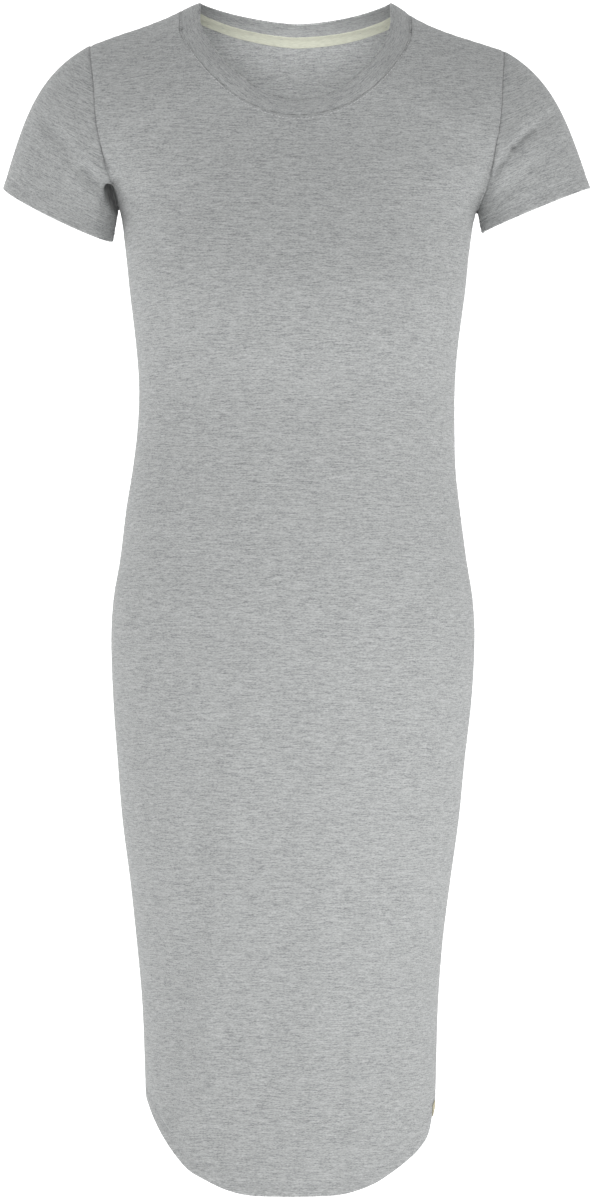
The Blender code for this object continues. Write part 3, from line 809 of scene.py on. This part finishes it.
def tab_grid(across):
    """The hem tab on the front's cloth: a ribbon folded in half, its fold down."""
    foot = TAB_FOOT + TAB_FOLD
    bend = [
        (foot - TAB_FOLD * math.sin(angle), TRIM_GAP + TAB_FOLD * (1 - math.cos(angle)))
        for angle in np.linspace(0, math.pi, TAB_BEND_STEPS + 1)[1:-1]
    ]
    profile = [(TAB_HEIGHT, TRIM_GAP), (foot, TRIM_GAP), *bend, (foot, TRIM_GAP + 2 * TAB_FOLD)]
    profile += [(TAB_HEIGHT / 2, TAB_MIDDLE_OUT), (TAB_HEIGHT, TAB_TOP_OUT)]
    places = np.arange(len(across))
    tab_places = np.interp(np.linspace(TAB_FROM, TAB_TO, TAB_COLUMNS), across, places)
    rows = []
    for height, out in profile:
        lines = np.array([on_skirt(FRONT, across, at, 0) for at in (height, height + 1)])
        outwards = normals_of(lines, on_axis([lines[0, :, 2].min()] * 2))[0]
        rows.append(interpolate(tab_places, places, lines[0] + outwards * out))
    points = np.array(rows)
    normals = unit(np.cross(np.gradient(points, axis=1), np.gradient(points, axis=0)))
    return Grid(points, normals, ribbon_places(points), np.full(len(points), TAB_LEAF))


def side_up(grid, side, rows):
    """A part of a grid turned so that its last row is its left or right side seam."""
    turned = [np.swapaxes(values[rows, ::side], 0, 1) for values in grid[:3]]
    return Grid(*turned, np.full(grid.points.shape[1], JERSEY))


def beside_armhole(sleeve):
    """The body's cloth next to an armhole, as a grid whose last row is the armhole's line."""
    turn = np.linspace(-math.pi, math.pi, SLEEVE_COLUMNS + 1)
    line, normals = armhole_line(sleeve, turn)
    away = unit(np.cross(np.gradient(line, axis=0), normals))
    away = away * -np.sign(away[0, 0]) * sleeve.side
    line = line - normals * ARMHOLE_DIP
    points = np.array([line + away * out for out in (2 * SEAM_GRIP, SEAM_GRIP, 0)])
    return Grid(points, np.array([normals] * 3), points, np.full(3, JERSEY))


def down_from_top(grid, columns, distances, out):
    """Points, normals and cloth at distances down from a grid's top row, moved outwards."""
    points, normals, cloth = (values[::-1, columns] for values in grid[:3])
    along = lengths_along(points, 0)
    levels = np.repeat(np.array(distances, float)[:, None], len(columns), axis=1)
    normals = unit(at_levels(levels, along, normals))
    return at_levels(levels, along, points) + normals * out, normals, at_levels(levels, along, cloth)


def allowance(under, over, columns, over_columns=None):
    """The edges sewn together inside a seam: a strip that lies on one piece and grips the other.

    Both pieces are grids whose last row is the seam."""
    over_columns = columns if over_columns is None else over_columns
    inside = -JERSEY - TRIM_GAP
    points, normals, cloth = down_from_top(under, columns, ALLOWANCE_LEVELS, inside)
    far_points, far_normals, _ = down_from_top(over, over_columns, (SEAM_GRIP,), inside)
    near_line, far_line = under.points[-1, columns], over.points[-1, over_columns]
    down = unit(under.points[-2, columns] - near_line) + unit(over.points[-2, over_columns] - far_line)
    outwards = unit(under.normals[-1, columns] + over.normals[-1, over_columns] - down)
    middle = (near_line + far_line) / 2 - outwards * (JERSEY + 2 * TRIM_GAP)
    points = np.concatenate((points, [middle], far_points))
    normals = np.concatenate((normals, [outwards], far_normals))
    cloth = np.concatenate((cloth, cloth[-1:], cloth[-1:]))
    return Grid(points, normals, cloth, np.full(len(points), ALLOWANCE_JERSEY))


def put(name, data):
    """A new object in the scene."""
    item = bpy.data.objects.new(name, data)
    bpy.context.scene.collection.objects.link(item)
    return item


def make_mesh(name, vertices, faces, material, cloth=None):
    """An object of the given vertices in millimetres, which rides on the one body."""
    mesh = bpy.data.meshes.new(name)
    mesh.from_pydata(vertices * MM, [], faces)
    mesh.shade_smooth()
    if cloth is not None:
        attribute = mesh.attributes.new("cloth", "FLOAT_VECTOR", "POINT")
        attribute.data.foreach_set("vector", (cloth * MM).astype(np.float32).ravel())
    mesh.materials.append(material)
    piece = put(name, mesh)
    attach(piece, "root")
    return piece


def rim_rows(outer, inner, beyond):
    """Rows that round an edge from its outer to its inner line, bulging away from the row beyond."""
    middle = (outer + inner) / 2
    radius = np.linalg.norm(outer - inner, axis=-1, keepdims=True) / 2
    way = unit(outer - beyond)
    angles = [math.pi * k / (RIM_STEPS + 1) for k in range(1, RIM_STEPS + 1)]
    return [middle + (outer - middle) * math.cos(a) + way * radius * math.sin(a) for a in angles]


def shell(name, grid, material, rounded_top=False):
    """A closed thin sheet on a grid, with its first edge rounded, and its last one too if asked."""
    outer = grid.points
    inner = outer - grid.normals * grid.thickness[:, None, None]
    first = rim_rows(outer[0], inner[0], outer[1])
    last = rim_rows(outer[-1], inner[-1], outer[-2]) if rounded_top else []
    rows = [*outer, *last, *inner[::-1], *first[::-1]]
    cloth = [*grid.cloth, *[grid.cloth[-1]] * len(last), *grid.cloth[::-1], *[grid.cloth[0]] * len(first)]
    index = np.arange(len(rows) * outer.shape[1]).reshape(len(rows), outer.shape[1])
    after = np.roll(index, -1, axis=0)
    around = np.stack((index[:, :-1], index[:, 1:], after[:, 1:], after[:, :-1]), axis=-1)
    outside = index[: len(outer)]
    inside = index[len(outer) + len(last) :][: len(outer)][::-1]
    faces = [around.reshape(-1, 4)]
    for column, step in ((0, 1), (-1, -1)):
        near, far = outside[:, column], inside[:, column]
        faces.append(np.stack((near[:-1], near[1:], far[1:], far[:-1]), axis=-1)[:, ::step])
    faces = np.concatenate(faces).tolist()
    piece = make_mesh(name, np.concatenate(rows), faces, material, np.concatenate(cloth))
    piece.data.validate()
    return piece


def rings_round(centres, side, up, radius, corners):
    """Rings of points round the centres of a thread, square to it."""
    angles = np.arange(corners) * 2 * math.pi / corners
    around = side[:, None] * np.cos(angles)[:, None] + up[:, None] * np.sin(angles)[:, None]
    return centres[:, None] + around * radius


def stitch_row(path, normals):
    """Stitches at even steps along a line, as points by stitch, station and corner."""
    from_start = lengths_along(path, 0)
    count = int(from_start[-1] // STITCH_STEP)
    places = (np.arange(count) + 0.5) * from_start[-1] / count
    middles, up = interpolate(places, from_start, path), unit(interpolate(places, from_start, normals))
    along = unit(np.gradient(middles, axis=0))
    side = unit(np.cross(along, up))
    rings = []
    for place, girth, height in STITCH_STATIONS:
        centres = middles + along * STITCH_LENGTH * place + up * height
        rings.append(rings_round(centres, side, up, STITCH_RADIUS * girth, STITCH_SIDES))
    return np.stack(rings, axis=1)


def overlock_thread(strip):
    """The one thread over the cut edge of an allowance, as points by thread, station and corner."""
    lines = [strip.points[row] - strip.normals[row] * (ALLOWANCE_JERSEY + THREAD) for row in OVERLOCK_ROWS]
    count = int(lengths_along(lines[0], 0)[-1] // OVERLOCK_STEP)
    swings = []
    for line, shift in zip(lines, OVERLOCK_SHIFTS):
        from_start = lengths_along(line, 0)
        swings.append(interpolate((np.arange(count) + shift) / count * from_start[-1], from_start, line))
    path = np.stack(swings, axis=1).reshape(-1, 3)
    along = unit(np.gradient(path, axis=0))
    side = unit(np.cross(along, NO_THREADS_WAY))
    return rings_round(path, side, np.cross(along, side), THREAD, OVERLOCK_SIDES)[None]


def threads(name, bodies, material):
    """Closed threads joined in one mesh, from points by thread, station and corner."""
    faces = []
    start = 0
    for body in bodies:
        index = start + np.arange(body[..., 0].size).reshape(body.shape[:-1])
        near, far = index[:, :-1], index[:, 1:]
        sides = np.stack((near, np.roll(near, -1, axis=-1), np.roll(far, -1, axis=-1), far), axis=-1)
        ends = np.stack((index[:, 0, ::-1], index[:, -1]), axis=1)
        faces += sides.reshape(-1, 4).tolist() + ends.reshape(-1, body.shape[2]).tolist()
        start += index.size
    return make_mesh(name, np.concatenate([body.reshape(-1, 3) for body in bodies]), faces, material)


def add(tree, kind, inputs=(), **settings):
    """A node with its settings, and its inputs set to numbers or linked to sockets."""
    node = tree.nodes.new(kind)
    for name, value in settings.items():
        setattr(node, name, value)
    for name, value in dict(inputs).items():
        if isinstance(value, bpy.types.NodeSocket):
            tree.links.new(value, node.inputs[name])
        else:
            node.inputs[name].default_value = value
    return node


def maths(tree, operation, first, second=0.5, third=0.5):
    node = add(tree, "ShaderNodeMath", {0: first, 1: second, 2: third}, operation=operation)
    return node.outputs[0]


def map_range(tree, value, start, end, low, high):
    inputs = {"Value": value, "From Min": start, "From Max": end, "To Min": low, "To Max": high}
    return add(tree, "ShaderNodeMapRange", inputs).outputs[0]


def noise_at(tree, place, scale=1, detail=2, roughness=0.5):
    inputs = {"Vector": place, "Scale": scale, "Detail": detail, "Roughness": roughness}
    return add(tree, "ShaderNodeTexNoise", inputs).outputs["Fac"]


def cloth_places(tree):
    """Where each point lies on its own flat cloth."""
    return add(tree, "ShaderNodeAttribute", attribute_name="cloth").outputs["Vector"]


def stretched(tree, cloth, long, tall):
    """Places on the cloth, scaled so that a noise's flecks become this long and tall."""
    scale = (1 / (long * MM), 1 / (tall * MM), 1)
    return add(tree, "ShaderNodeMapping", {"Vector": cloth, "Scale": scale}).outputs[0]


def new_material(name, roughness, sheen):
    material = bpy.data.materials.new(name)
    material.use_nodes = True
    shader = material.node_tree.nodes["Principled BSDF"]
    look = {"Roughness": roughness, "Sheen Weight": sheen, "Sheen Roughness": 0.5, "Specular IOR Level": 0.2}
    for socket, value in look.items():
        shader.inputs[socket].default_value = value
    return material, material.node_tree, shader


def colour_by(tree, shader, factor, stops):
    """Gives the surface the colours that a factor picks."""
    node = add(tree, "ShaderNodeValToRGB", {"Fac": factor})
    elements = node.color_ramp.elements
    while len(elements) < len(stops):
        elements.new(0.5)
    for element, (place, colour) in zip(elements, stops):
        element.position = place
        element.color = (*colour, 1)
    tree.links.new(node.outputs["Color"], shader.inputs["Base Color"])


def roughen(tree, shader, height, strength, distance):
    """Gives the surface a fine relief, its distance in millimetres."""
    inputs = {"Height": height, "Strength": strength, "Distance": distance * MM}
    tree.links.new(add(tree, "ShaderNodeBump", inputs).outputs[0], shader.inputs["Normal"])


def melange_jersey(name, brightness=1):
    """Grey melange single jersey: light and dark fibres drawn out along the courses."""
    material, tree, shader = new_material(name, roughness=0.92, sheen=0.12)
    cloth = cloth_places(tree)
    noises = []
    mix = 0
    for kind in MELANGE:
        place = stretched(tree, cloth, kind.long, kind.tall)
        noises.append(noise_at(tree, place, detail=kind.detail, roughness=FLECK_ROUGHNESS))
        mix = maths(tree, "MULTIPLY_ADD", noises[-1], kind.share, mix)
    # A brightness below 1 darkens every grey; the neckband's copy uses it as painted shade
    stops = [(place, [brightness * part for part in grey]) for place, grey in MELANGE_GREYS]
    colour_by(tree, shader, mix, stops)

    parts = add(tree, "ShaderNodeSeparateXYZ", {0: cloth})
    across = maths(tree, "FRACT", maths(tree, "MULTIPLY", parts.outputs[0], 1 / (WALE * MM)))
    from_middle = maths(tree, "ABSOLUTE", maths(tree, "SUBTRACT", across, 0.5))
    slant = maths(tree, "MULTIPLY_ADD", parts.outputs[1], 1 / (COURSE * MM), from_middle)
    loop = maths(tree, "SINE", maths(tree, "MULTIPLY", slant, 2 * math.pi))
    rib = maths(tree, "MULTIPLY_ADD", from_middle, -WALE_RELIEF, maths(tree, "MULTIPLY", loop, LOOP_RELIEF))
    height = maths(tree, "MULTIPLY_ADD", noises[0], FLECK_RELIEF, rib)
    roughen(tree, shader, height, strength=0.35, distance=0.3)
    return material


def woven(name, dark, light, rib):
    """A plain woven narrow cloth with fine ribs across and along it."""
    material, tree, shader = new_material(name, roughness=0.85, sheen=0.1)
    cloth = cloth_places(tree)
    parts = add(tree, "ShaderNodeSeparateXYZ", {0: cloth})
    waves = [
        maths(tree, "SINE", maths(tree, "MULTIPLY", parts.outputs[axis], 2 * math.pi / (size * MM)))
        for axis, size in ((0, rib), (1, rib * WOVEN_RIB_SHARE))
    ]
    weave = maths(tree, "MULTIPLY", *waves)
    slubs = noise_at(tree, stretched(tree, cloth, *WOVEN_SLUB))
    mix = maths(tree, "MULTIPLY_ADD", weave, WOVEN_RIB_COLOUR, slubs)
    colour_by(tree, shader, mix, ((0.3, dark), (0.7, light)))
    roughen(tree, shader, weave, strength=0.4, distance=0.15)
    return material


def thread(name, colour):
    """Sewing thread: a twisted yarn, a little uneven in colour."""
    material, tree, shader = new_material(name, roughness=0.7, sheen=0.1)
    place = add(tree, "ShaderNodeTexCoord").outputs["Object"]
    twist = noise_at(tree, place, scale=THREAD_TWIST)
    dark, light = ([share * part for part in colour] for share in THREAD_SHADES)
    colour_by(tree, shader, twist, ((0.35, dark), (0.65, light)))
    roughen(tree, shader, twist, strength=0.4, distance=0.1)
    return material


jersey = melange_jersey("grey_melange_jersey")
# The neckband's jersey is the same melange with every grey made darker, as painted shade
painted_shade_band_jersey = melange_jersey("grey_melange_band_jersey", brightness=0.93)
tape_cloth = woven("cream_tape", dark=(0.55, 0.56, 0.46), light=(0.68, 0.69, 0.58), rib=0.9)
tab_cloth = woven("cream_tab", dark=(0.52, 0.48, 0.34), light=(0.66, 0.61, 0.44), rib=0.7)
grey_thread = thread("grey_thread", (0.47, 0.475, 0.48))
light_thread = thread("light_thread", (0.6, 0.605, 0.61))

# Body, sleeves and neckband
front, back = panel(FRONT), panel(BACK)
front_cloth = shell("front_panel_cloth", front, jersey)
back_cloth = shell("back_panel_cloth", back, jersey)
sleeve_grids = {sleeve.name: sleeve_grid(sleeve) for sleeve in SLEEVES}
sleeve_cloths = {name: shell(name + "_cloth", grid, jersey) for name, grid in sleeve_grids.items()}
band = band_grid()
band_cloth = shell("neckband_cloth", band, painted_shade_band_jersey, rounded_top=True)

# Tape inside the back neck, and the tab at the hem
places = panel_places()
neck_columns = np.flatnonzero(np.abs(places) <= NECK_SHARE)
tape_piece = shell("neck_tape_cloth", tape_grid(back, band, neck_columns), tape_cloth, rounded_top=True)
tab_piece = shell("hem_tab_cloth", tab_grid(places), tab_cloth, rounded_top=True)


# Stitches along the hems and beside the neck seam
def hem_rows(grid):
    rows = [HEM_LEVELS.index(height) for height in STITCH_HEIGHTS]
    return [stitch_row(grid.points[row], grid.normals[row]) for row in rows]


hem_stitches = threads("hem_stitches", hem_rows(front) + hem_rows(back), grey_thread)
sleeve_stitches = {
    name: threads(name + "_stitches", hem_rows(grid), grey_thread)
    for name, grid in sleeve_grids.items()
}
neck_rows = []
for grid in (front, back):
    points, normals, _ = down_from_top(grid, neck_columns, (NECK_STITCH_DISTANCE,), 0)
    neck_rows.append(stitch_row(points[0], normals[0]))
neck_stitches = threads("neck_stitches", neck_rows, light_thread)

# Allowances inside the side, shoulder, armhole and front neck seams, with their overlock thread
skirt_columns = np.arange(len(HEM_LEVELS) + SKIRT_ROWS)
skirt_rows = slice(0, len(skirt_columns))
strips = [
    allowance(side_up(back, side, skirt_rows), side_up(front, side, skirt_rows), skirt_columns)
    for side in (-1, 1)
]
for beside in (places <= -NECK_SHARE, places >= NECK_SHARE):
    strips.append(allowance(back, front, np.flatnonzero(beside)))
for sleeve in SLEEVES:
    armhole_columns = np.arange(SLEEVE_COLUMNS + 1)
    strips.append(allowance(sleeve_grids[sleeve.name], beside_armhole(sleeve), armhole_columns))
band_from_edge = Grid(band.points[::-1], band.normals[::-1], band.cloth[::-1], band.thickness)
strips.append(allowance(front, band_from_edge, neck_columns, np.arange(0, BAND_COLUMNS + 1, 2)))
allowance_pieces = [
    shell(f"seam_allowance_{number}", strip, jersey, rounded_top=True)
    for number, strip in enumerate(strips)
]
overlock = threads("overlock_threads", [overlock_thread(strip) for strip in strips], grey_thread)

# The solid that each sheet replaces, and its cloth: the solid is hidden, the cloth is not used
for piece, node, slot in (
    (front_cloth, "front_panel", "jersey"),
    (back_cloth, "back_panel", "jersey"),
    (sleeve_cloths["sleeve_left"], "sleeve_left", "jersey"),
    (sleeve_cloths["sleeve_right"], "sleeve_right", "jersey"),
    (band_cloth, "neckband", "jersey"),
    (tape_piece, "neck_tape", "neck_tape_cloth"),
    (tab_piece, "hem_tab", "hem_tab_cloth"),
):
    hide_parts(node)

# Camera at the photograph's angle
camera_data = bpy.data.cameras.new("camera")
camera_data.sensor_width = SENSOR
camera_data.lens = SENSOR * -CAMERA_PLACE[1] / PICTURE_HEIGHT
camera = put("camera", camera_data)
camera.location = CAMERA_PLACE
camera.rotation_euler = (math.radians(90), 0, 0)
bpy.context.scene.camera = camera
bpy.context.scene.view_settings.view_transform = "Standard"

# Soft studio light from all round
world = bpy.data.worlds.new("studio")
bpy.context.scene.world = world
world.use_nodes = True
tree = world.node_tree
direction = add(tree, "ShaderNodeTexCoord").outputs["Generated"]
x, y, z = add(tree, "ShaderNodeSeparateXYZ", {0: direction}).outputs
behind = map_range(tree, y, SKY_FRONT_END, 0, SKY_FRONT, SKY_BEHIND)
lost = map_range(tree, z, 0, SKY_LOSS_END, 0, SKY_LOSS_ABOVE)
strength = maths(tree, "SUBTRACT", maths(tree, "MULTIPLY_ADD", x, -SKY_GAIN_LEFT, behind), lost)
tree.links.new(strength, tree.nodes["Background"].inputs["Strength"])
tree.nodes["Background"].inputs["Color"].default_value = (1, 1, 1, 1)

# Soft boxes that the camera doesn't see
for box in SOFT_BOXES:
    data = bpy.data.lights.new(box.name, "AREA")
    data.shape = "RECTANGLE"
    data.size, data.size_y = box.size
    data.energy = box.watts
    data.spread = math.radians(box.spread)
    light = put(box.name, data)
    light.location = box.place
    way = Vector(box.towards) - Vector(box.place)
    light.rotation_euler = way.to_track_quat("-Z", "Y").to_euler()
    light.visible_camera = False

# Plain pale floor
turns = [2 * math.pi * k / FLOOR_CORNERS for k in range(FLOOR_CORNERS)]
corners = [(FLOOR_RADIUS * math.cos(turn), FLOOR_RADIUS * math.sin(turn), -FLOOR_DROP) for turn in turns]
floor_mesh = bpy.data.meshes.new("floor")
floor_mesh.from_pydata(corners, [], [tuple(range(FLOOR_CORNERS))])
floor = put("floor", floor_mesh)
floor_material, tree, shader = new_material("pale_floor", roughness=0.8, sheen=0)
shader.inputs["Emission Strength"].default_value = FLOOR_GLOW
place = add(tree, "ShaderNodeTexCoord").outputs["Object"]
colour_by(tree, shader, noise_at(tree, place, scale=3), FLOOR_GREYS)
floor_mesh.materials.append(floor_material)
